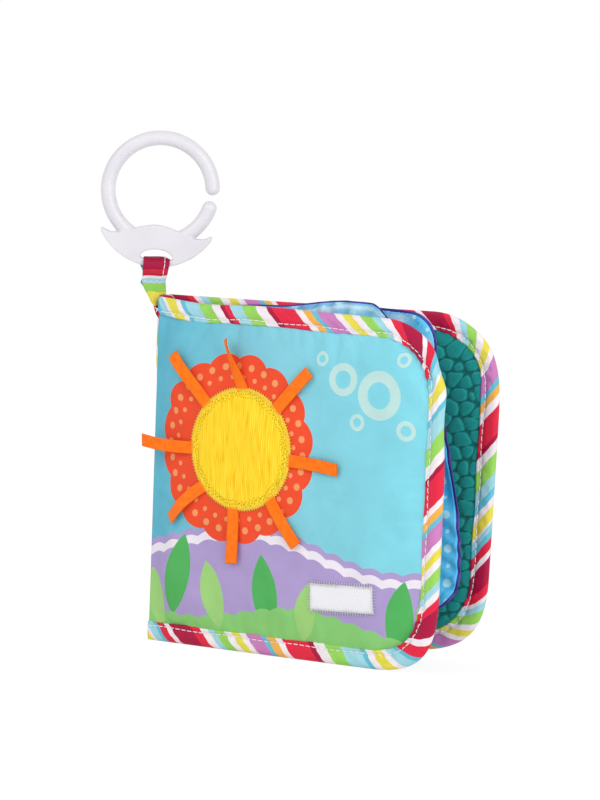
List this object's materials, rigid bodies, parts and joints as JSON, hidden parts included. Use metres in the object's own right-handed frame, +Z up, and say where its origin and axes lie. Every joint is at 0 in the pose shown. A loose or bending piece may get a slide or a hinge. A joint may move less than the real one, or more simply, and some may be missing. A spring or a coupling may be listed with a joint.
{
  "type": "soft activity book",
  "caption": "Padded cloth baby book with striped bound covers, crinkle leaves, a corduroy patch with ribbon tabs, and a plastic link ring on a strap.",
  "frame": {"origin": "on the spine's axis, at the flat foot that the spine stands on", "axes": "+Z up along the spine to the link ring, +X from the spine to the pages' free edges along the middle plane of the open book, +Y towards the back cover"},
  "size_m": [0.2009, 0.064, 0.2507],
  "materials": {
    "printed_cloth": "printed polyester satin, turquoise ground",
    "batting": "polyester wadding",
    "embossed_plush": "teal plush embossed with pebbles",
    "plain_lining": "plain woven polyester",
    "striped_tape": "slant striped satin binding in several colours",
    "blue_satin": "printed satin",
    "violet_satin": "printed satin",
    "crinkle_film": "thin crackling film",
    "corduroy": "yellow corduroy",
    "orange_ribbon": "grosgrain ribbon",
    "woven_label": "blank woven label",
    "white_plastic": "moulded white plastic, soft sheen"
  },
  "bodies": {
    "back_cover": {"back_cover_face": "printed_cloth", "back_cover_padding": "batting", "back_cover_plush_lining": "embossed_plush", "back_cover_binding": "striped_tape", "spine_roll": "striped_tape", "spine_core": "batting", "spine_band_foot": "striped_tape", "spine_band_head": "striped_tape"},
    "leaf_2": {"leaf_2_front_satin": "blue_satin", "leaf_2_crinkle_film": "crinkle_film", "leaf_2_back_satin": "violet_satin"},
    "leaf_1": {"leaf_1_front_satin": "blue_satin", "leaf_1_crinkle_film": "crinkle_film", "leaf_1_back_satin": "violet_satin"},
    "front_cover": {"front_cover_face": "printed_cloth", "front_cover_padding": "batting", "front_cover_lining": "plain_lining", "front_cover_binding": "striped_tape", "applique_patch": "corduroy", "woven_label": "woven_label"},
    "ribbon_1": {"ribbon_tab_1": "orange_ribbon"},
    "ribbon_2": {"ribbon_tab_2": "orange_ribbon"},
    "ribbon_3": {"ribbon_tab_3": "orange_ribbon"},
    "ribbon_4": {"ribbon_tab_4": "orange_ribbon"},
    "ribbon_5": {"ribbon_tab_5": "orange_ribbon"},
    "ribbon_6": {"ribbon_tab_6": "orange_ribbon"},
    "ribbon_7": {"ribbon_tab_7": "orange_ribbon"},
    "ribbon_8": {"ribbon_tab_8": "orange_ribbon"},
    "strap": {"hanging_strap": "striped_tape"},
    "ring": {"link_ring": "white_plastic"}
  },
  "joints": [
    {"name": "leaf_2_turn", "type": "hinge", "parent": "back_cover", "child": "leaf_2", "pos_m": [0, 0, 0.0915], "axis": [0, 0, -1], "range_deg": [0, 35]},
    {"name": "leaf_1_turn", "type": "hinge", "parent": "leaf_2", "child": "leaf_1", "pos_m": [0, 0, 0.0915], "axis": [0, 0, -1], "range_deg": [0, 35]},
    {"name": "front_cover_turn", "type": "hinge", "parent": "leaf_1", "child": "front_cover", "pos_m": [0, 0, 0.085], "axis": [0, 0, -1], "range_deg": [-1, 88]},
    {"name": "ribbon_1_lift", "type": "hinge", "parent": "front_cover", "child": "ribbon_1", "pos_m": [0.07694, -0.02002, 0.12252], "axis": [0.7143, -0.0861, -0.6945], "range_deg": [0, 80]},
    {"name": "ribbon_2_lift", "type": "hinge", "parent": "front_cover", "child": "ribbon_2", "pos_m": [0.05427, -0.01724, 0.13128], "axis": [0.9324, -0.1168, 0.3419], "range_deg": [0, 80]},
    {"name": "ribbon_3_lift", "type": "hinge", "parent": "front_cover", "child": "ribbon_3", "pos_m": [0.03329, -0.01452, 0.12202], "axis": [0.7481, -0.1001, 0.656], "range_deg": [0, 80]},
    {"name": "ribbon_4_lift", "type": "hinge", "parent": "front_cover", "child": "ribbon_4", "pos_m": [0.02435, -0.01331, 0.09847], "axis": [0.0381, -0.0049, 0.9993], "range_deg": [0, 80]},
    {"name": "ribbon_5_lift", "type": "hinge", "parent": "front_cover", "child": "ribbon_5", "pos_m": [0.03257, -0.01445, 0.07873], "axis": [-0.6732, 0.092, 0.7337], "range_deg": [0, 80]},
    {"name": "ribbon_6_lift", "type": "hinge", "parent": "front_cover", "child": "ribbon_6", "pos_m": [0.0522, -0.01707, 0.06886], "axis": [-0.991, 0.1286, -0.0384], "range_deg": [0, 80]},
    {"name": "ribbon_7_lift", "type": "hinge", "parent": "front_cover", "child": "ribbon_7", "pos_m": [0.07468, -0.01988, 0.0755], "axis": [-0.7552, 0.0903, -0.6493], "range_deg": [0, 80]},
    {"name": "ribbon_8_lift", "type": "hinge", "parent": "front_cover", "child": "ribbon_8", "pos_m": [0.08627, -0.02119, 0.09684], "axis": [-0.0664, 0.004, -0.9978], "range_deg": [0, 80]},
    {"name": "strap_flex", "type": "hinge", "parent": "back_cover", "child": "strap", "pos_m": [0, 0, 0.1714], "axis": [0.8829, 0.4695, 0], "range_deg": [-30, 30]},
    {"name": "ring_swing", "type": "hinge", "parent": "strap", "child": "ring", "pos_m": [0, 0, 0.1852], "axis": [-0.8829, -0.4695, 0], "range_deg": [-90, 90]}
  ]
}
